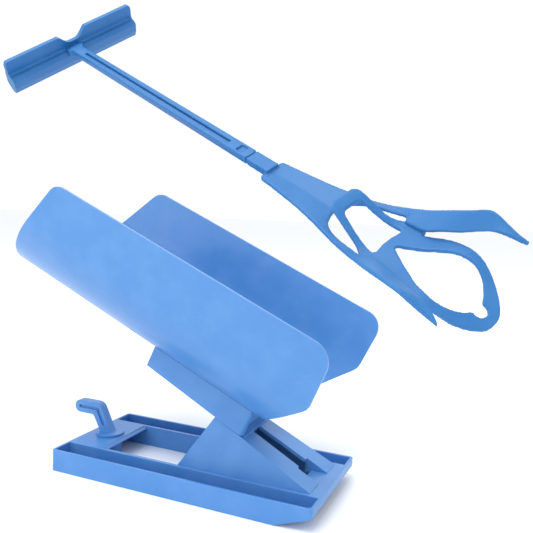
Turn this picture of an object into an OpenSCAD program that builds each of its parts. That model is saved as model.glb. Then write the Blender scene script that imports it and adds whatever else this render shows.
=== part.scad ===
// Sock aid: a cradle that slides on a ramp, a tray-like base with a swivel hook,
// and a long-handled tool with a fork and two loops for pulling a sock off.
// Millimetres. X runs along the base towards the toe end, Z is up, and the origin
// is on the floor at the centre of the base.

/* [Base] */
// Length of the base
base_l = 260; // [220:1:300]
// Width of the base
base_w = 122.5; // [110:0.5:140]
// Height of the base rim
base_h = 20.35; // [18:0.05:26]
// Thickness of the outer walls
wall = 2.5; // [2:0.1:4]
// Half-width of the channel between the two inner webs
channel = 35; // [30:0.5:40]
// Thickness of the inner webs
web = 3.5; // [2.5:0.1:5]
// Height of the toe end's underside bevel
bevel_h = 12.2; // [6:0.1:14]

/* [Ramp] */
// Tilt of the ramp in degrees
ramp_tilt = 27; // [20:0.5:32]
// Where the ramp surface meets the height of the base rim
foot_x = 119.5; // [110:0.1:125]
// Where the ramp ends at the top
apex_x = 25; // [0:1:40]
// Thickness of the ramp's top plate
rail_t = 3.2; // [2.5:0.1:4]
// Length of the wide entry at the bottom of the slot
entry_l = 22.5; // [16:0.5:30]
// Distance up the ramp of the slot's upper stop
slot_end = 84.2; // [70:0.1:90]

/* [Cradle] */
// Tilt of the cradle in degrees
cradle_tilt = 24.3; // [18:0.1:30]
// Length of the cradle along its top edge
cradle_l = 283; // [240:1:320]
// Outside radius of the cradle's round bottom
cradle_r = 78; // [65:1:90]
// Thickness of the cradle's wall
cradle_t = 3; // [2:0.1:5]
// Half-width of the cradle's foot block
foot_w = 31; // [24:0.5:36]

/* [Hook] */
// Distance of the hook's spindle from the middle of the base
hook_x = 109; // [100:1:112]
// Thickness of the hook's bar
hook_t = 12.8; // [8:0.1:14]
// Height of the hook's upper arm
hook_z = 44.6; // [35:0.1:60]

/* [Tool] */
// Length of the hand grip
grip_l = 152; // [120:1:170]
// Width of the shaft
shaft_w = 12; // [10:0.5:16]
// Thickness of the shaft
shaft_t = 7; // [6:0.5:10]
// Thickness of the fork and the loops
sheet_t = 3; // [2:0.1:4]

/* [Hidden] */
$fn = 64;
half_l = base_l / 2;
half_w = base_w / 2;
deck_t = 3;
bevel_x = half_l - 33;
toe_deck_x = 119.2;
deck_x = -88;
opening_x = -8;
rib_h = 3;
apex_z = base_h + (foot_x - apex_x) * tan(ramp_tilt);
entry_half = 12.6;
cradle_at = [-109.5, 0, 268.7];
cradle_flare = 9.6;
round_w = -30;
edge_half = 84.2;
plate_up = 1.2;
hook_r = 6;
hook_gap = 0.1;
tool_at = [-199.1, 40.96, 421.14];
tool_turn = [36.542, 24.309, -20.329];
shaft_end = 306;
socket_x = 283;

// ---- helpers ----

function unit(v) = v / norm(v);

// The points of a rounded corner at q, on the way from p to s
function corner(p, q, s, r, n = 8) =
    r == 0 ? [q] :
    let (a = unit(p - q), b = unit(s - q))
    let (half = acos(a * b) / 2)
    let (mid = q + unit(a + b) * r / sin(half))
    let (v1 = q + a * r / tan(half) - mid, v2 = q + b * r / tan(half) - mid)
    let (a1 = atan2(v1[1], v1[0]), d = atan2(v2[1], v2[0]) - a1)
    let (turn = d > 180 ? d - 360 : d < -180 ? d + 360 : d)
    [for (i = [0 : n]) mid + r * [cos(a1 + turn * i / n), sin(a1 + turn * i / n)]];

// A closed outline from [x, y, corner radius] entries
function rounded(pts) =
    let (n = len(pts), at = [for (p = pts) [p[0], p[1]]])
    [for (i = [0 : n - 1])
        each corner(at[(i + n - 1) % n], at[i], at[(i + 1) % n], pts[i][2])];

// The other half of an outline that is symmetric about the X axis
function mirrored(pts) = [for (i = [len(pts) - 1 : -1 : 0]) [pts[i][0], -pts[i][1], pts[i][2]]];

function both_halves(pts) = concat(pts, mirrored(pts));

// A band of even thickness below a line of [x, z] points
function band(line, t) = concat(line, [for (i = [len(line) - 1 : -1 : 0]) line[i] - [0, t]]);

// Where a line through p at angle a meets a line through q at angle b
function meet(p, a, q, b) =
    let (k = ((q[0] - p[0]) * sin(b) - (q[1] - p[1]) * cos(b)) / sin(b - a))
    p + k * [cos(a), sin(a)];

// A shape drawn in X and Z, made h wide across Y
module across(h) {
    rotate([90, 0, 0]) linear_extrude(h, center = true) children();
}

// A shape drawn in Y and Z, made long from x = from to x = to
module along(from, to) {
    translate([from, 0, 0]) rotate([90, 0, 90]) linear_extrude(to - from) children();
}

module box(low, high) {
    translate(low) cube(high - low);
}

module two_sides() {
    children();
    mirror([0, 1, 0]) children();
}

// The ramp's own frame: X points down the ramp, Z out of its surface
module on_ramp() {
    translate([foot_x, 0, base_h]) rotate([0, ramp_tilt, 0]) children();
}

// The cradle's own frame: X along its top edge, Z square to it
module on_cradle() {
    translate(cradle_at) rotate([0, cradle_tilt, 0]) children();
}

// The tool's own frame: X along the shaft from the middle of the grip
module on_tool() {
    translate(tool_at) rotate(tool_turn) children();
}

// ---- base ----

// Side view of the base between two heights, with the bevel under the toe end
module base_side(inset, low) {
    slope = bevel_h / (half_l - bevel_x);
    polygon([
        [-half_l + inset, low],
        [bevel_x + inset - low, low],
        [half_l - inset, bevel_h - inset * slope + low],
        [half_l - inset, base_h + 1],
        [-half_l + inset, base_h + 1]
    ]);
}

module base_body() {
    intersection() {
        across(base_w) base_side(0, 0);
        linear_extrude(base_h) polygon(rounded(both_halves([
            [half_l, half_w, 3], [-half_l, half_w, 3]
        ])));
    }
}

// One of the two long pockets, open at the top
module base_pocket() {
    pocket = half_w - wall - channel - web;
    translate([0, channel + web + pocket / 2, 0]) across(pocket) base_side(wall, 2);
}

// The space between the webs, with the heel deck and the toe deck left standing
module base_channel() {
    box([-half_l + wall, -channel, -1], [deck_x, channel, base_h - deck_t]);
    box([deck_x - 0.01, -channel, -1], [toe_deck_x, channel, base_h + 1]);
    box([toe_deck_x - 0.01, -channel, -1], [half_l - wall, channel, base_h - wall]);
}

module base_tray() {
    color("cornflowerblue") difference() {
        union() {
            difference() {
                base_body();
                two_sides() base_pocket();
                base_channel();
            }
            // Cross ribs that the ramp stands on
            for (x = [-4, 78]) box([x, -channel - 0.5, 0], [x + 8, channel + 0.5, rib_h]);
        }
        // Rounded lip of the heel deck
        across(2 * channel) polygon([
            [deck_x + 0.01, base_h - 2.2], [deck_x + 0.01, base_h + 1], [deck_x - 4, base_h + 1],
            [deck_x - 4, base_h + 0.01], [deck_x - 3, base_h]
        ]);
        translate([-hook_x, 0, 0]) cylinder(h = 40, r = hook_r + 0.05);
    }
}

// ---- ramp ----

// Side view of the ramp, or of its hollow when the walls are given a thickness. The hollow
// runs past the bottom, so the ramp is open underneath.
module ramp_side(back_t, top_t) {
    back = atan2(apex_z - base_h, apex_x - opening_x);
    heel = [opening_x + back_t, base_h];
    back_foot = meet(heel, 90, [opening_x + back_t / sin(back), base_h], back);
    foot = [foot_x - top_t / sin(ramp_tilt), base_h];
    apex = meet(foot, 180 - ramp_tilt, [opening_x + back_t / sin(back), base_h], back);
    toe = toe_deck_x - back_t;
    low = rib_h - back_t;
    polygon([
        [heel[0], low], [100 - back_t, low], [toe, 10.4 - back_t],
        [toe, min(base_h, base_h + (foot[0] - toe) * tan(ramp_tilt))],
        apex, back_foot
    ]);
}

// Cross-section of the ramp, with its drafted sides
module ramp_section(t) {
    half = channel - 0.2 - t;
    draft = 7.7 / 51.65;
    polygon([
        [-half, -1], [half, -1], [half, base_h],
        [half - draft * 60, base_h + 60], [-half + draft * 60, base_h + 60], [-half, base_h]
    ]);
}

module ramp_solid(side_t, top_t) {
    intersection() {
        across(2 * channel) ramp_side(side_t, top_t);
        along(opening_x - 1, foot_x + 1) ramp_section(side_t);
    }
}

// Plan of the wide entry and the slot that the cradle's key runs in
module slot_plan() {
    polygon(rounded(both_halves([
        [3, entry_half, 0], [-entry_l, entry_half, 1.5], [-entry_l, 8.8, 0], [-slot_end, 7.6, 1]
    ])));
}

module ramp() {
    color("cornflowerblue") difference() {
        union() {
            difference() {
                ramp_solid(0, 0);
                ramp_solid(wall, rail_t);
            }
            intersection() {
                ramp_solid(0, 0);
                union() {
                    // Cheeks and floor of the entry
                    two_sides() box([98, entry_half - 0.6, base_h - 3], [toe_deck_x - 1, 15, 60]);
                    box([104, -15, base_h - 3], [toe_deck_x - 1, 15, base_h - 0.2]);
                }
            }
        }
        // The slot is cut from above and stops before the entry's floor
        intersection() {
            on_ramp() translate([0, 0, -rail_t - 12]) linear_extrude(20) slot_plan();
            box([0, -50, base_h - 0.6], [200, 50, 120]);
        }
    }
}

// ---- swivel hook ----

// Side view of a straight bar with round ends
module bar(p, q, t) {
    turn = atan2(q[1] - p[1], q[0] - p[0]);
    end = norm(q - p) + t / 2;
    translate(p) rotate(turn) polygon(rounded(both_halves([
        [end, t / 2, t / 2 - 0.02], [-t / 2, t / 2, t / 2 - 0.02]
    ])));
}

module hook_peg() {
    half = hook_t / 2;
    top = hook_z + half;
    color("cornflowerblue") translate([-hook_x, 0, 0]) {
        difference() {
            across(9) polygon(rounded([
                [4.8, base_h + hook_gap + 0.5, 0], [-10, top, 9], [-41, top, half - 0.02],
                [-41, top - hook_t, half - 0.02], [-18, top - hook_t, 3],
                [-8.4, base_h + hook_gap + 0.5, 0]
            ]));
            // Shallow groove along both faces
            two_sides() translate([0, 3.9, 0]) across(3) polygon(rounded([
                [-3.2, base_h + 8, 1], [-11.8, hook_z + 1.5, 2.5], [-36, hook_z + 1.5, 1.4],
                [-36, hook_z - 1.5, 1.4], [-14.2, hook_z - 1.5, 0.5], [-6.6, base_h + 8, 1]
            ]));
        }
        translate([0, 0, base_h + hook_gap]) cylinder(h = 2.2, r = 14);
        translate([0, 0, 3]) cylinder(h = base_h + hook_gap - 2, r = hook_r);
    }
}

// Cap pressed on the spindle under the deck
module hook_cap() {
    color("royalblue") translate([-hook_x, 0, 1.2]) difference() {
        cylinder(h = base_h - deck_t - 1.35, r = 12);
        translate([0, 0, -1]) cylinder(h = 40, r = hook_r);
    }
}

// ---- cradle ----

// Cross-section of the cradle: a round bottom that runs into flared straight sides
module cradle_section(inset) {
    r = cradle_r - inset;
    low = round_w - r * sin(cradle_flare);
    rise = 20;
    side = r / cos(cradle_flare) - 0.1 - round_w * tan(cradle_flare);
    translate([0, round_w]) circle(r, $fn = 128);
    polygon([
        [side + low * tan(cradle_flare), low], [side + rise * tan(cradle_flare), rise],
        [-side - rise * tan(cradle_flare), rise], [-side - low * tan(cradle_flare), low]
    ]);
}

// Side view of the cradle, with its slanted ends
module cradle_side() {
    polygon(rounded([
        [0, 0, 14], [cradle_l, 0, 17], [cradle_l, -53, 12], [cradle_l - 45, -109, 0], [-52.3, -109, 0]
    ]));
}

module cradle_shell() {
    color("cornflowerblue") on_cradle() intersection() {
        across(2 * edge_half + 20) cradle_side();
        difference() {
            along(-60, cradle_l + 10) cradle_section(0);
            along(-61, cradle_l + 11) cradle_section(cradle_t);
        }
    }
}

// Side view of the foot block, whose underside lies along the ramp
module foot_side(up) {
    under = base_h + (plate_up + up) / cos(ramp_tilt);
    slope = tan(ramp_tilt);
    polygon([
        [54.5, under + (foot_x - 54.5) * slope], [-47, under + (foot_x + 47) * slope],
        [-5, 200], [90, 160]
    ]);
}

module cradle_foot() {
    color("cornflowerblue") difference() {
        union() {
            difference() {
                intersection() {
                    across(2 * foot_w) foot_side(0);
                    on_cradle() translate([0, 0, -200]) linear_extrude(200) polygon(rounded(both_halves([
                        [235, foot_w, 3], [124, foot_w, 1]
                    ])));
                }
                on_cradle() along(0, 300) translate([0, round_w]) circle(cradle_r + 0.3, $fn = 128);
            }
            // Studs fused into the cradle
            on_cradle() for (x = [140, 215], y = [-18, 18])
                translate([x, y, -109]) cylinder(h = 5.5, r = 3);
        }
        // Hollow inside, closed by the key plate
        intersection() {
            across(2 * foot_w - 7) foot_side(-1);
            on_cradle() box([164, -foot_w, -160], [225, foot_w, -115]);
        }
        // Shallow recess in the front face
        on_cradle() box([230, -24, -150], [240, 24, -105]);
    }
}

// Plate under the foot block, with the T-shaped key that runs in the slot
module slide_key() {
    color("royalblue") on_ramp() {
        box([-152, -27, 0.05], [-73.8, 27, plate_up]);
        box([-84, -7, -4], [-75, 7, 0.5]);
        box([-84, -11, -6.6], [-75, 11, -rail_t - 0.2]);
    }
}

// ---- tool ----

// Section of the grip: a thick bar across the shaft with a thin wing standing on it
module grip_section() {
    polygon(rounded([
        [3.2, 19.5, 1], [8.8, 18.6, 1.5], [2.4, 2.6, 2.5], [6.5, 0.6, 2], [9.2, -3, 2.5],
        [5, -12, 5], [-0.5, -19, 2], [-8, -18.4, 4], [-13, -9, 5], [-6, 3, 6], [-1.5, 8, 4]
    ]));
}

module grip() {
    color("steelblue") on_tool() difference() {
        intersection() {
            across(grip_l) grip_section();
            along(-20, 20) polygon(rounded([
                [-grip_l / 2, -25, 0], [-grip_l / 2, 22, 9], [grip_l / 2, 22, 9], [grip_l / 2, -25, 0]
            ]));
        }
        // Finger notch in the wing
        along(-15, 20) polygon(rounded([[-18, 24, 0], [-4, 8.5, 8], [9, 8.5, 8], [23, 24, 0]]));
        // Seat for the shaft
        box([1.9, -shaft_w / 2, -shaft_t / 2], [30, shaft_w / 2, shaft_t / 2]);
    }
}

module shaft() {
    half = shaft_w / 2;
    color("steelblue") on_tool() difference() {
        union() {
            intersection() {
                box([2, -half, -shaft_t / 2], [shaft_end + 3, half, shaft_t / 2]);
                // The end is rounded like a fingertip
                translate([0, 0, -10]) linear_extrude(20) {
                    translate([shaft_end - 9, 0]) circle(11);
                    translate([0, -20]) square([shaft_end - 9, 40]);
                }
            }
            // Gussets that spread into the grip
            translate([0, 0, -shaft_t / 2]) linear_extrude(shaft_t) difference() {
                polygon([[6, -13], [6, 13], [17, half - 1], [17, 1 - half]]);
                for (y = [-14, 14]) translate([17, y]) circle(8);
            }
        }
        // Groove along the top
        translate([0, 0, shaft_t / 2 - 2.5]) linear_extrude(5) bar([34, 0], [280, 0], 2.3);
        // Socket for the fork's stem
        box([socket_x, -4.5, -2], [shaft_end + 4, 4.5, 1.6]);
        // Catch window, shaped like a D
        translate([292, 0, 0]) linear_extrude(10) intersection() {
            translate([0, -4]) square([9, 8]);
            translate([4, 0]) circle(5);
        }
    }
}

// Side view of the loops
loop_line = [
    [398, 19.5], [408, 17.5], [417, 13.9], [428, 7], [436, 2.8], [443, 0.6], [450, 0], [470, 0],
    [480, 1.8], [490, 3], [497, 2.8], [504, 1], [512, -3], [518, -7], [525, -10.7], [540, -17]
];

// Stations along half of the fork: [x, inner y, inner z, outer y, outer z].
// The blade comes first, then the rounded root of the opening, the arm and its claw.
fork_stations = [
    [331, -0.5, 0, 10, 0.4], [333, -0.5, 0, 11.8, 0.5], [345, -0.5, -0.3, 12.8, 0.8],
    [362, -0.5, -0.7, 14.4, 1.1], [380, -0.5, -1.1, 16.4, 1.2], [400, -0.5, -1.7, 19.7, 1.2],
    [402.5, 6, -1.2, 20.2, 1.2], [405, 10.6, -0.8, 20.7, 1.2], [410, 15, -0.3, 21.7, 1.2],
    [418, 18.4, 0.1, 23.4, 1.5], [430, 20.8, 1, 26, 3], [440, 22.2, 2.4, 28.3, 5.2],
    [446, 22.8, 3, 29.7, 6.7], [447.5, 19.4, 2.6, 30.1, 7.1], [457, 19.4, 3, 32.5, 9.9],
    [464, 19.8, 4, 34.4, 12.6], [475, 23.7, 8, 37.3, 17], [485, 27.5, 10.6, 40, 21.1],
    [495, 31.7, 14.6, 42.7, 25], [502, 34.3, 17.6, 43, 23.8], [510, 36.6, 19.2, 43.2, 20.1],
    [518, 39.4, 18.2, 43.4, 16.8], [523.5, 42.2, 16, 43.2, 15.8]
];

// A sheet lofted through the stations, with its thickness below them
module fork_half() {
    n = len(fork_stations);
    points = [for (s = fork_stations)
        let (inner = [s[0], s[1], s[2]], outer = [s[0], s[3], s[4]])
        let (down = cross(unit(outer - inner), [1, 0, 0]) * sheet_t)
        each [inner, outer, outer + down, inner + down]];
    sides = [for (i = [0 : n - 2], k = [0 : 3])
        let (a = 4 * i + k, b = 4 * i + (k + 1) % 4)
        each [[a, b + 4, a + 4], [a, b, b + 4]]];
    heel = [3, 2, 1, 0];
    tip = [for (k = [0 : 3]) 4 * n - 4 + k];
    polyhedron(points, concat(sides, [heel, tip]));
}

module fork() {
    color("steelblue") on_tool() {
        two_sides() fork_half();
        // Neck, with a hollowed end that follows the shaft's rounded end
        difference() {
            box([shaft_end - 6, -5.9, -3.4], [333, 5.9, 3.3]);
            translate([shaft_end - 8.7, 0, -10]) cylinder(h = 20, r = 11);
        }
        // Stem that plugs into the shaft
        box([socket_x + 1, -4.4, -1.9], [shaft_end + 6, 4.4, 1.5]);
        // Webs that join the arms to the loops
        two_sides() box([449, 19.8, -sheet_t + 0.5], [462, 24, 3]);
    }
}

// Plans of the ring and of the keyhole loop
ring_outside = [[408.5, 12.9, 7], [437, 16.8, 20], [449, 24, 1], [463, 24, 2]];
ring_inside = [[417.3, 8, 4.6], [451, 14.6, 2.5], [449, 4, 3]];
loop_outside = [
    [463, 19.4, 1], [474, 24.8, 40], [489, 27.6, 60], [504, 27.2, 38], [517, 22.4, 38],
    [527, 15, 38], [534, 6.5, 14]
];
loop_inside = [[457, 1.2, 1], [490, 19, 30], [504, 20.4, 15], [513, 16, 18], [520, 8, 1.5]];

module loops() {
    color("steelblue") on_tool() intersection() {
        across(70) polygon(band(loop_line, sheet_t));
        translate([0, 0, -40]) linear_extrude(80) difference() {
            polygon(rounded(both_halves(concat(ring_outside, loop_outside))));
            polygon(rounded(both_halves(ring_inside)));
            polygon(rounded(both_halves(loop_inside)));
            translate([523.2, 0]) circle(4.7);
        }
    }
}

// ---- output ----

base_tray();
ramp();
hook_peg();
hook_cap();
cradle_shell();
cradle_foot();
slide_key();
grip();
shaft();
fork();
loops();
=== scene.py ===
import math

import bmesh
import bpy
from mathutils import Euler, Matrix, Vector


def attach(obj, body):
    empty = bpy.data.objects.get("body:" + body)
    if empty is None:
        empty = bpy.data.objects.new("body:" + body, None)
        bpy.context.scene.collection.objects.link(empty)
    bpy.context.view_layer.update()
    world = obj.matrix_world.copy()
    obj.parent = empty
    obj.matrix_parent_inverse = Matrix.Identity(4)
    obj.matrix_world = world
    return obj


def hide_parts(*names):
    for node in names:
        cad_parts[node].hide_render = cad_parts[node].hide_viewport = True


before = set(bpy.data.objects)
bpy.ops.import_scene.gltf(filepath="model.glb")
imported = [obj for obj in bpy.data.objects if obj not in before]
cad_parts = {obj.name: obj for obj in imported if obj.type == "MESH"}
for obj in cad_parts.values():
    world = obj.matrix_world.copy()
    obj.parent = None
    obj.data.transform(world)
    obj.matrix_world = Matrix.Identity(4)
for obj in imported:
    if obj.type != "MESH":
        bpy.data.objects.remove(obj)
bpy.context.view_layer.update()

MM = 0.001


# ---- camera, lights and floor ----

CAMERA_AT = Vector((271.50, -511.37, 251.39))
CAMERA_RIGHT = Vector((0.9198, 0.3902, 0.0414))
CAMERA_UP = Vector((-0.0716, 0.0633, 0.9954))
FIELD_OF_VIEW = math.radians(46.377)
SENSOR = 36
FLOOR_REACH = 30


def add_camera():
    data = bpy.data.cameras.new("camera")
    camera = bpy.data.objects.new("camera", data)
    bpy.context.scene.collection.objects.link(camera)
    data.sensor_width = SENSOR
    data.lens = SENSOR / 2 / math.tan(FIELD_OF_VIEW / 2)
    data.clip_end = 20
    right = CAMERA_RIGHT.normalized()
    back = right.cross(CAMERA_UP).normalized()
    up = back.cross(right)
    camera.matrix_world = (
        Matrix.Translation(CAMERA_AT * MM)
        @ Matrix((right, up, back)).transposed().to_4x4()
    )
    bpy.context.scene.camera = camera


def add_area_light(name, at, aim, size, power, colour=(1, 1, 1)):
    data = bpy.data.lights.new(name, "AREA")
    data.shape = "RECTANGLE"
    data.size, data.size_y = size
    data.energy = power
    data.color = colour
    light = bpy.data.objects.new(name, data)
    bpy.context.scene.collection.objects.link(light)
    light.location = at
    light.rotation_euler = (Vector(aim) - Vector(at)).to_track_quat("-Z", "Y").to_euler()


def add_world(strength):
    world = bpy.data.worlds.new("studio")
    world.use_nodes = True
    background = world.node_tree.nodes["Background"]
    background.inputs["Color"].default_value = (0.96, 0.98, 1, 1)
    background.inputs["Strength"].default_value = strength
    bpy.context.scene.world = world


# ---- shader nodes as Python expressions ----

class Signal:
    """A socket that varies over the surface and takes part in arithmetic."""

    def __init__(self, paint, socket):
        self.paint = paint
        self.socket = socket

    def combine(self, operation, first, second):
        made = self.paint.node("ShaderNodeMath", {"operation": operation}, {0: first, 1: second})
        return Signal(self.paint, made.outputs[0])

    def __add__(self, other):
        return self.combine("ADD", self, other)

    def __radd__(self, other):
        return self.combine("ADD", other, self)

    def __mul__(self, other):
        return self.combine("MULTIPLY", self, other)

    def __rmul__(self, other):
        return self.combine("MULTIPLY", other, self)


class Paint:
    """One material and the nodes that make it."""

    def __init__(self, name):
        self.material = bpy.data.materials.new(name)
        self.material.use_nodes = True
        self.tree = self.material.node_tree
        self.tree.nodes.clear()

    def node(self, kind, settings=None, inputs=None):
        made = self.tree.nodes.new(kind)
        for name, value in (settings or {}).items():
            if name == "stops":
                for stop, (place, shade) in zip(made.color_ramp.elements, value):
                    stop.position = place
                    stop.color = (shade, shade, shade, 1)
            else:
                setattr(made, name, value)
        for name, value in (inputs or {}).items():
            if isinstance(value, Signal):
                self.tree.links.new(value.socket, made.inputs[name])
            else:
                made.inputs[name].default_value = value
        return made

    def signal(self, kind, settings=None, inputs=None, output=0):
        return Signal(self, self.node(kind, settings, inputs).outputs[output])

    def noise(self, place, scale, detail=2.0):
        return self.signal(
            "ShaderNodeTexNoise", {}, {"Vector": place, "Scale": scale, "Detail": detail}
        )

    def ramp(self, factor, low, high):
        stops = [(low, 0.0), (high, 1.0)]
        return self.signal("ShaderNodeValToRGB", {"stops": stops}, {"Fac": factor})

    def mix(self, factor, first, second):
        settings = {"data_type": "RGBA", "blend_type": "MIX"}
        return self.signal("ShaderNodeMix", settings, {0: factor, 6: first, 7: second}, 2)

    def finish(self, surface):
        out = self.node("ShaderNodeOutputMaterial")
        self.tree.links.new(surface.outputs[0], out.inputs[0])
        return self.material


def moulded_plastic(name, body, shade_and_flow_tone, worn, roughness, waviness, sheen_spread=0.1):
    """Glossy moulded plastic: painted shade that deepens the colour in the recesses, faint flow
    marks, handling haze on the open faces and a fine pebble left by the mould."""
    paint = Paint(name)
    place = paint.signal("ShaderNodeTexCoord", output=3)
    stretched = paint.signal(
        "ShaderNodeMapping", {}, {"Vector": place, "Scale": (0.35, 1.0, 1.0)}
    )
    # Painted shade: an ambient-occlusion mask, darker where recesses and creases hold shade.
    occlusion_shade = paint.signal(
        "ShaderNodeAmbientOcclusion", {"samples": 8}, {"Distance": 0.03}, 1
    )
    flow = paint.noise(stretched, 14.0, 3.0)
    haze = paint.ramp(paint.noise(place, 38.0, 5.0), 0.42, 0.72)
    speck = paint.ramp(paint.noise(place, 900.0, 1.0), 0.60, 0.74)
    scuffs = paint.ramp(paint.noise(stretched, 260.0, 6.0), 0.64, 0.76)
    # Painted shade: the recesses are tinted towards the darker tone, which the faint flow marks
    # also use.
    recess = paint.ramp(occlusion_shade, 0.25, 0.95)
    toned = paint.mix(recess, shade_and_flow_tone, body)
    toned = paint.mix(flow * 0.16, toned, shade_and_flow_tone)
    toned = paint.mix(haze * 0.10 + scuffs * 0.07, toned, worn)
    toned = paint.mix(speck * 0.05, toned, worn)
    shine = roughness + haze * sheen_spread + scuffs * 0.10 + flow * 0.04
    pebble = paint.noise(place, 1400.0, 2.0)
    height = flow * waviness + pebble * 0.012 + scuffs * 0.01
    bump = paint.signal(
        "ShaderNodeBump", {}, {"Height": height, "Strength": 0.35, "Distance": 0.001}
    )
    surface = paint.node("ShaderNodeBsdfPrincipled", {}, {
        "Base Color": toned,
        "Roughness": shine,
        "Normal": bump,
        "IOR": 1.49,
        "Specular IOR Level": 0.4,
        "Subsurface Weight": 0.12,
        "Subsurface Radius": (0.25, 0.6, 1.0),
        "Subsurface Scale": 0.004,
    })
    return paint.finish(surface)


def floor_paint():
    paint = Paint("floor")
    place = paint.signal("ShaderNodeTexCoord", output=3)
    mottle = paint.noise(place, 3.0, 2.0)
    tone = paint.mix(mottle, (0.92, 0.93, 0.94, 1), (0.95, 0.955, 0.96, 1))
    surface = paint.node("ShaderNodeBsdfPrincipled", {}, {
        "Base Color": tone, "Roughness": 0.9, "Specular IOR Level": 0.1
    })
    return paint.finish(surface)


# ---- mesh helpers ----

def wear(obj, material):
    obj.data.materials.clear()
    obj.data.materials.append(material)


def add_mesh(name, points, faces, body, material):
    mesh = bpy.data.meshes.new(name)
    mesh.from_pydata([Vector(p) * MM for p in points], [], faces)
    mesh.validate()
    mesh.update()
    obj = bpy.data.objects.new(name, mesh)
    bpy.context.scene.collection.objects.link(obj)
    wear(obj, material)
    for polygon in mesh.polygons:
        polygon.use_smooth = True
    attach(obj, body)
    return obj


def modify(obj, kind, **settings):
    made = obj.modifiers.new(kind.lower(), kind)
    for name, value in settings.items():
        setattr(made, name, value)
    return made


def soften(obj, width, segments=3, angle=32):
    """Rounds the edges of a piece and keeps its flat faces flat."""
    for polygon in obj.data.polygons:
        polygon.use_smooth = True
    modify(obj, "WELD", merge_threshold=0.00001)
    modify(obj, "DECIMATE", decimate_type="DISSOLVE", angle_limit=math.radians(0.6))
    modify(
        obj, "BEVEL", width=width * MM, segments=segments, limit_method="ANGLE",
        angle_limit=math.radians(angle), harden_normals=True, miter_outer="MITER_ARC",
    )
    modify(obj, "WEIGHTED_NORMAL", keep_sharp=True, weight=80)


def smooth_line(line, at):
    """Height of a line of (x, z) points at x, with smooth joins between its points."""
    if at <= line[0][0]:
        return line[0][1]
    if at >= line[-1][0]:
        return line[-1][1]
    last = len(line) - 1
    i = next(k for k in range(last) if line[k + 1][0] >= at)
    (x0, z0), (x1, z1) = line[i], line[i + 1]

    def slope(k):
        a, b = line[max(k - 1, 0)], line[min(k + 1, last)]
        return (b[1] - a[1]) / (b[0] - a[0])

    span = x1 - x0
    t = (at - x0) / span
    return (
        (2 * t**3 - 3 * t**2 + 1) * z0 + (t**3 - 2 * t**2 + t) * span * slope(i)
        + (3 * t**2 - 2 * t**3) * z1 + (t**3 - t**2) * span * slope(i + 1)
    )


def rounded(corners, steps=8):
    """Points of a closed outline whose corners are (x, y, radius)."""
    made = []
    count = len(corners)
    for i, (x, y, radius) in enumerate(corners):
        here = Vector((x, y))
        if radius == 0:
            made.append(here)
            continue
        before = Vector(corners[i - 1][:2])
        after = Vector(corners[(i + 1) % count][:2])
        a, b = (before - here).normalized(), (after - here).normalized()
        half = a.angle(b) / 2
        middle = here + (a + b).normalized() * radius / math.sin(half)
        v1 = here + a * radius / math.tan(half) - middle
        v2 = here + b * radius / math.tan(half) - middle
        start = math.atan2(v1.y, v1.x)
        turn = (math.atan2(v2.y, v2.x) - start + math.pi) % (2 * math.pi) - math.pi
        for k in range(steps + 1):
            angle = start + turn * k / steps
            made.append(middle + Vector((math.cos(angle), math.sin(angle))) * radius)
    return made


def both_halves(corners):
    return list(corners) + [(x, -y, radius) for x, y, radius in reversed(corners)]


# ---- materials ----

# The darker tone of each plastic is painted shade in the recesses and also the colour of its flow
# marks.
PALE_BLUE = moulded_plastic(
    "pale_blue_plastic",
    body=(0.072, 0.232, 0.54, 1), shade_and_flow_tone=(0.066, 0.222, 0.53, 1), worn=(0.30, 0.50, 0.82, 1),
    roughness=0.27, waviness=0.35,
)
STEEL_BLUE = moulded_plastic(
    "steel_blue_plastic",
    body=(0.018, 0.145, 0.39, 1), shade_and_flow_tone=(0.014, 0.125, 0.35, 1), worn=(0.15, 0.35, 0.62, 1),
    roughness=0.42, waviness=0.15,
)


# ---- the cradle: one thin shell, rounded along its whole rim ----

CRADLE_AT = Vector((-109.5, 0, 268.7))
CRADLE_TURN = Matrix.Rotation(math.radians(24.3), 3, "Y")
CRADLE_RADIUS = 78
CRADLE_WALL = 3
ROUND_CENTRE = -30
FLARE = math.radians(9.6)
CRADLE_ROWS = 96
CRADLE_COLUMNS = 70
RIM_ROUNDING = 1.2


def cradle_section(inset, reach):
    """A point of the cradle's section, as (y, height). The reach runs from -1 at one top edge,
    through 0 at the bottom, to 1 at the other. Next to the edges the sides are straight."""
    radius = CRADLE_RADIUS - inset
    touch_y = radius * math.cos(FLARE)
    touch_z = ROUND_CENTRE - radius * math.sin(FLARE)
    straight = -touch_z / math.cos(FLARE)
    arc = radius * (math.pi - 2 * FLARE)
    along = abs(reach) * (straight + arc / 2)
    side = 1 if reach > 0 else -1
    from_edge = straight + arc / 2 - along
    if from_edge <= straight:
        z = -from_edge * math.cos(FLARE)
        return side * (touch_y + (z - touch_z) * math.tan(FLARE)), z
    angle = FLARE + (from_edge - straight) / radius
    return side * radius * math.cos(angle), ROUND_CENTRE - radius * math.sin(angle)


def end_line(corners, height):
    """Where one end of the cradle lies at a height, from its (x, height, radius) corners."""
    line = sorted((p.y, p.x) for p in rounded(corners, 12)[1:-1])
    for (z0, x0), (z1, x1) in zip(line, line[1:]):
        if z0 <= height <= z1:
            return x0 + (x1 - x0) * (height - z0) / max(z1 - z0, 1e-6)
    return line[-1][1] if height > line[-1][0] else line[0][1]


HEEL_END = [(120, 0, 0), (0, 0, 14), (-54.7, -114, 0), (120, -114, 0)]
TOE_END = [(120, -114, 0), (233.9, -114, 0), (283, -53, 12), (283, 0, 17), (120, 0, 0)]


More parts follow.
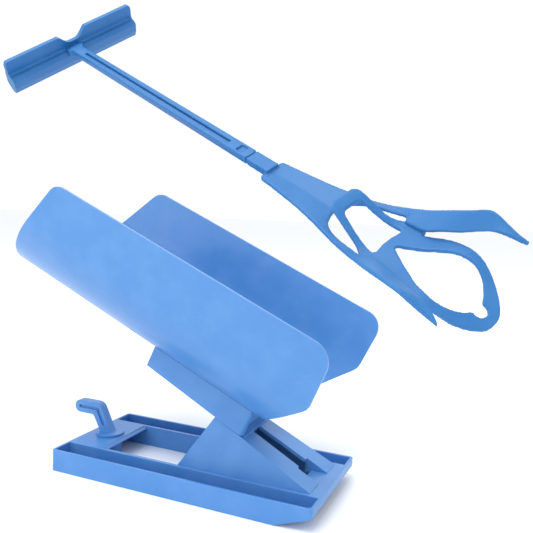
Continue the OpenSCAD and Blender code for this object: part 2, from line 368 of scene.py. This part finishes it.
def build_cradle():
    rows, columns = CRADLE_ROWS, CRADLE_COLUMNS
    reaches = [math.sin(math.pi / 2 * (2 * i / rows - 1)) for i in range(rows + 1)]
    points, faces = [], []
    for inset in (0, CRADLE_WALL):
        for reach in reaches:
            y, z = cradle_section(inset, reach)
            start, stop = end_line(HEEL_END, z), end_line(TOE_END, z)
            for k in range(columns + 1):
                at = Vector((start + (stop - start) * k / columns, y, z))
                points.append(CRADLE_AT + CRADLE_TURN @ at)
    wide = columns + 1
    inner = wide * (rows + 1)
    for i in range(rows):
        for k in range(columns):
            a = i * wide + k
            faces.append((a, a + 1, a + wide + 1, a + wide))
            faces.append((inner + a, inner + a + wide, inner + a + wide + 1, inner + a + 1))
    for k in range(columns):
        last = rows * wide + k
        faces.append((k, inner + k, inner + k + 1, k + 1))
        faces.append((last, last + 1, inner + last + 1, inner + last))
    for i in range(rows):
        a, b = i * wide, i * wide + columns
        faces.append((a, a + wide, inner + a + wide, inner + a))
        faces.append((b, inner + b, inner + b + wide, b + wide))
    cradle = add_mesh("cradle", points, faces, "cradle", PALE_BLUE)
    modify(
        cradle, "BEVEL", width=RIM_ROUNDING * MM, segments=3, limit_method="ANGLE",
        angle_limit=math.radians(50), harden_normals=True,
    )
    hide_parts("cradle_shell")


# ---- the tool's head: fork and loops in one moulding ----

TOOL_AT = Vector((-199.1, 40.96, 421.14))
TOOL_TURN = Euler([math.radians(a) for a in (36.542, 24.309, -20.329)]).to_matrix()
SHEET = 3

LOOP_LINE = [
    (398, 19.5), (408, 17.5), (417, 13.9), (428, 7), (436, 2.8), (443, 0.6), (450, 0), (470, 0),
    (480, 1.8), (490, 3), (497, 2.8), (504, 1), (512, -3), (518, -7), (525, -10.7), (540, -17),
]
RING_OUTSIDE = [(408.5, 12.9, 7), (437, 16.8, 20), (449, 24, 1), (463, 24, 2)]
RING_INSIDE = [(417.3, 8, 4.6), (451, 14.6, 2.5), (449, 4, 3)]
LOOP_OUTSIDE = [
    (463, 19.4, 1), (474, 24.8, 40), (489, 27.6, 60), (504, 27.2, 38), (517, 22.4, 38),
    (527, 15, 38), (534, 6.5, 14),
]
LOOP_INSIDE = [(457, 1.2, 1), (490, 19, 30), (504, 20.4, 15), (513, 16, 18), (519.4, 8.4, 1.5)]
KEYHOLE_X = 523.2
KEYHOLE_RADIUS = 4.7
KEYHOLE_OPENING = math.radians(112)
KEYHOLE_STEPS = 16
STRIP = 1.5
FORK_STEP = 2.5
VOXEL = 0.75
WEBS = [((449, side * 19.8, -2.5), (462, side * 25, 3)) for side in (1, -1)]
NECK = ((308.2, -6.1, -3.5), (334, 6.1, 3.4))
STEM = ((284, -4.4, -1.9), (312, 4.4, 1.5))

# Stations along half of the fork: x, inner edge (y, z), outer edge (y, z)
FORK_STATIONS = [
    (331, -0.5, 0, 10, 0.4), (333, -0.5, 0, 11.8, 0.5), (345, -0.5, -0.3, 12.8, 0.8),
    (362, -0.5, -0.7, 14.4, 1.1), (380, -0.5, -1.1, 16.4, 1.2), (400, -0.5, -1.7, 19.7, 1.2),
    (402.5, 6, -1.2, 20.2, 1.2), (405, 10.6, -0.8, 20.7, 1.2), (410, 15, -0.3, 21.7, 1.2),
    (418, 18.4, 0.1, 23.4, 1.5), (430, 20.8, 1, 26, 3), (440, 22.2, 2.4, 28.3, 5.2),
    (446, 22.8, 3, 29.7, 6.7), (447.5, 19.4, 2.6, 30.1, 7.1), (457, 19.4, 3, 32.5, 9.9),
    (464, 19.8, 4, 34.4, 12.6), (475, 23.7, 8, 37.3, 17), (485, 27.5, 10.6, 40, 21.1),
    (495, 31.7, 14.6, 42.7, 25), (502, 34.3, 17.6, 43, 23.8), (510, 36.6, 19.2, 43.2, 20.1),
    (518, 39.4, 18.2, 43.4, 16.8), (523.5, 42.2, 16, 43.2, 15.8),
]


def fork_solid(side):
    """Half of the fork, lofted through its stations with short smooth steps."""
    columns = [[(s[0], s[k]) for s in FORK_STATIONS] for k in range(1, 5)]
    places = []
    for (x0, *_), (x1, *_) in zip(FORK_STATIONS, FORK_STATIONS[1:]):
        steps = max(1, round((x1 - x0) / FORK_STEP))
        places += [x0 + (x1 - x0) * k / steps for k in range(steps)]
    places.append(FORK_STATIONS[-1][0])
    made = bmesh.new()
    rings = []
    for x in places:
        inner_y, inner_z, outer_y, outer_z = [smooth_line(column, x) for column in columns]
        inner = Vector((x, inner_y, inner_z))
        outer = Vector((x, outer_y, outer_z))
        down = (outer - inner).normalized().cross(Vector((1, 0, 0))) * SHEET
        ring = [inner, outer, outer + down, inner + down]
        rings.append([made.verts.new(Vector((p.x, side * p.y, p.z))) for p in ring])
    for first, second in zip(rings, rings[1:]):
        for k in range(4):
            n = (k + 1) % 4
            made.faces.new((first[k], first[n], second[n], second[k]))
    made.faces.new(rings[0])
    made.faces.new(rings[-1])
    return made


def fill_outline(outline, holes):
    """A flat sheet inside an outline, without its holes."""
    made = bmesh.new()
    for loop in [outline] + holes:
        ring = [made.verts.new((p.x, p.y, 0)) for p in loop]
        for a, b in zip(ring, ring[1:] + ring[:1]):
            made.edges.new((a, b))
    bmesh.ops.triangle_fill(made, edges=made.edges[:], use_beauty=True)
    return made


def cut_into_strips(made, first, last, step):
    """Cuts a flat sheet across its length, so that it can be bent."""
    x = first
    while x < last:
        geometry = made.verts[:] + made.edges[:] + made.faces[:]
        bmesh.ops.bisect_plane(made, geom=geometry, plane_co=(x, 0, 0), plane_no=(1, 0, 0))
        x += step


def loops_solid():
    """The ring and the keyhole loop, cut from one bent sheet."""
    notch = []
    for k in range(KEYHOLE_STEPS + 1):
        angle = KEYHOLE_OPENING - 2 * KEYHOLE_OPENING * k / KEYHOLE_STEPS
        across = Vector((math.cos(angle), math.sin(angle))) * KEYHOLE_RADIUS
        notch.append(Vector((KEYHOLE_X, 0)) + across)
    upper = rounded(LOOP_INSIDE + [(518, -30, 0), (457, -30, 0)])[:-2]
    lower = [Vector((p.x, -p.y)) for p in reversed(upper)]
    hole = upper + notch + lower
    ring_hole = rounded(both_halves(RING_INSIDE))
    made = fill_outline(rounded(both_halves(RING_OUTSIDE + LOOP_OUTSIDE)), [ring_hole, hole])
    cut_into_strips(made, 404, 536, STRIP)
    for vert in made.verts:
        vert.co.z = smooth_line(LOOP_LINE, vert.co.x) - SHEET
    made.normal_update()
    top = bmesh.ops.extrude_face_region(made, geom=made.faces[:])["geom"]
    bmesh.ops.translate(
        made, vec=(0, 0, SHEET), verts=[g for g in top if isinstance(g, bmesh.types.BMVert)]
    )
    return made


def block_solid(low, high):
    made = bmesh.new()
    bmesh.ops.create_cube(made, size=1)
    low, high = Vector(low), Vector(high)
    middle, size = (low + high) / 2, high - low
    for vert in made.verts:
        vert.co = middle + vert.co * size
    return made


def build_head():
    """All the head's solids melted together, so that they meet in small fillets."""
    parts = [fork_solid(1), fork_solid(-1), loops_solid()]
    parts += [block_solid(low, high) for low, high in [*WEBS, NECK, STEM]]
    merged = bpy.data.meshes.new("tool_head")
    joined = bmesh.new()
    for part in parts:
        bmesh.ops.recalc_face_normals(part, faces=part.faces[:])
        bmesh.ops.triangulate(part, faces=part.faces[:])
        spare = bpy.data.meshes.new("spare")
        part.to_mesh(spare)
        part.free()
        joined.from_mesh(spare)
        bpy.data.meshes.remove(spare)
    for vert in joined.verts:
        vert.co = (TOOL_AT + TOOL_TURN @ vert.co) * MM
    joined.to_mesh(merged)
    joined.free()
    head = bpy.data.objects.new("tool_head", merged)
    bpy.context.scene.collection.objects.link(head)
    wear(head, STEEL_BLUE)
    modify(head, "REMESH", mode="VOXEL", voxel_size=VOXEL * MM, use_smooth_shade=True)
    modify(head, "SMOOTH", factor=0.5, iterations=5)
    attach(head, "tool_head")
    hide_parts("fork", "loops")


# ---- the shaft: a bar with a groove, a catch window and gussets at the grip ----

SHAFT_HALF = 6
SHAFT_TOP = 3.5
TIP_CENTRE = 297
TIP_RADIUS = 11
NARROWEST = 1.2
GUSSET_END = 17
GUSSET_CENTRE = 14
GUSSET_RADIUS = 8
GROOVE = (33, 281)
GROOVE_HALF = 1.15
GROOVE_DEPTH = 2.2
CATCH = (292, 301)
CATCH_CENTRE = 296
CATCH_RADIUS = 5
CATCH_HALF = 4
CATCH_DEPTH = 1.5
EDGE = 0.8
EDGE_MIDDLE = 0.23


def shaft_half_width(x):
    """Half-width of the shaft, which spreads into the grip and ends like a fingertip."""
    if x < GUSSET_END:
        reach = GUSSET_END - max(x, 10.5)
        return GUSSET_CENTRE - math.sqrt(GUSSET_RADIUS ** 2 - reach ** 2)
    if x < TIP_CENTRE:
        return SHAFT_HALF
    return min(SHAFT_HALF, math.sqrt(max(TIP_RADIUS ** 2 - (x - TIP_CENTRE) ** 2, 0.2)))


def shaft_recess(x):
    """Half-width and depth of the recess in the top of the shaft."""
    if GROOVE[0] <= x <= GROOVE[1]:
        end = min(x - GROOVE[0], GROOVE[1] - x)
        half = GROOVE_HALF * min(1, math.sqrt(max(end, 0.01)))
        return half, GROOVE_DEPTH * min(1, end / 0.6)
    if CATCH[0] <= x <= CATCH[1]:
        chord = math.sqrt(max(CATCH_RADIUS ** 2 - (x - CATCH_CENTRE) ** 2, 0.04))
        return min(CATCH_HALF, chord), CATCH_DEPTH * min(1, (x - CATCH[0]) / 0.4)
    return GROOVE_HALF, 0


def half_section(x):
    """Right half of the shaft's section with rounded edges, from the bottom to the recess."""
    half = max(shaft_half_width(x), NARROWEST)
    recess, depth = shaft_recess(x)
    recess = min(recess, half - GROOVE_HALF)
    return [
        (half - EDGE, -SHAFT_TOP), (half - EDGE_MIDDLE, EDGE_MIDDLE - SHAFT_TOP),
        (half, EDGE - SHAFT_TOP), (half, SHAFT_TOP - EDGE),
        (half - EDGE_MIDDLE, SHAFT_TOP - EDGE_MIDDLE), (half - EDGE, SHAFT_TOP),
        (recess + 0.3, SHAFT_TOP), (recess, SHAFT_TOP - depth * 0.15),
        (recess * 0.85, SHAFT_TOP - depth),
    ]


def build_shaft():
    stations = [2.2, 4, 6, 8, 9, 10, 11, 12, 13, 14.5, 16, 17, 24, 32.9]
    stations += [33, 33.15, 33.6, 34, 34.5] + [40 + 8 * k for k in range(30)]
    stations += [279.5, 280, 280.4, 280.85, 281, 281.1, 286, 291.9]
    stations += [292, 292.2, 292.4, 294, 296, 298, 299, 300, 300.5, 300.9, 301, 301.1]
    stations += [303, 304.5, 306.2, 307, 307.6]
    points, faces = [], []
    for x in stations:
        right = half_section(x)
        section = right + [(-y, z) for y, z in reversed(right)]
        points += [TOOL_AT + TOOL_TURN @ Vector((x, y, z)) for y, z in section]
    wide = len(section)
    for i in range(len(stations) - 1):
        for k in range(wide):
            a, b = i * wide + k, i * wide + (k + 1) % wide
            faces.append((a, b, b + wide, a + wide))
    faces.append(tuple(reversed(range(wide))))
    faces.append(tuple(range(len(points) - wide, len(points))))
    shaft = add_mesh("tool_shaft", points, faces, "tool", STEEL_BLUE)
    shaft.data.set_sharp_from_angle(angle=math.radians(50))
    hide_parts("shaft")


# ---- carried-over pieces ----

ROUNDING = {
    "base_tray": 0.7, "ramp": 0.6, "hook_peg": 1.2, "hook_cap": 0.8,
    "cradle_foot": 0.9, "slide_key": 0.3, "grip": 0.8,
}
TOOL_NODES = ("grip", "shaft", "fork", "loops")

for name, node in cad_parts.items():
    wear(node, STEEL_BLUE if name in TOOL_NODES else PALE_BLUE)
    if name in ROUNDING:
        soften(node, ROUNDING[name])

build_cradle()
build_head()
build_shaft()


# ---- set ----

add_camera()
bpy.context.scene.view_settings.view_transform = "Standard"
add_world(1.05)
add_area_light("key", (-0.3, -0.8, 2.2), (0, 0, 0.15), (1.4, 1.4), 32)
add_area_light("fill", (1.9, -1.2, 0.9), (0, 0, 0.2), (1.8, 1.8), 2)
add_area_light("back", (-0.4, 1.8, 1.6), (0, 0, 0.2), (2.0, 1.2), 5)
add_area_light("low", (-0.15, -0.75, 0.06), (0, 0, 0.02), (0.9, 0.12), 0.35)
add_area_light("sheen", (-0.70, -1.24, 0.62), (-0.09, 0.08, 0.24), (0.16, 0.08), 1.1)

floor_mesh = bpy.data.meshes.new("floor")
corners = [(x * FLOOR_REACH, y * FLOOR_REACH, 0) for x, y in ((-1, -1), (1, -1), (1, 1), (-1, 1))]
floor_mesh.from_pydata(corners, [], [(0, 1, 2, 3)])
floor = bpy.data.objects.new("floor", floor_mesh)
bpy.context.scene.collection.objects.link(floor)
floor_mesh.materials.append(floor_paint())
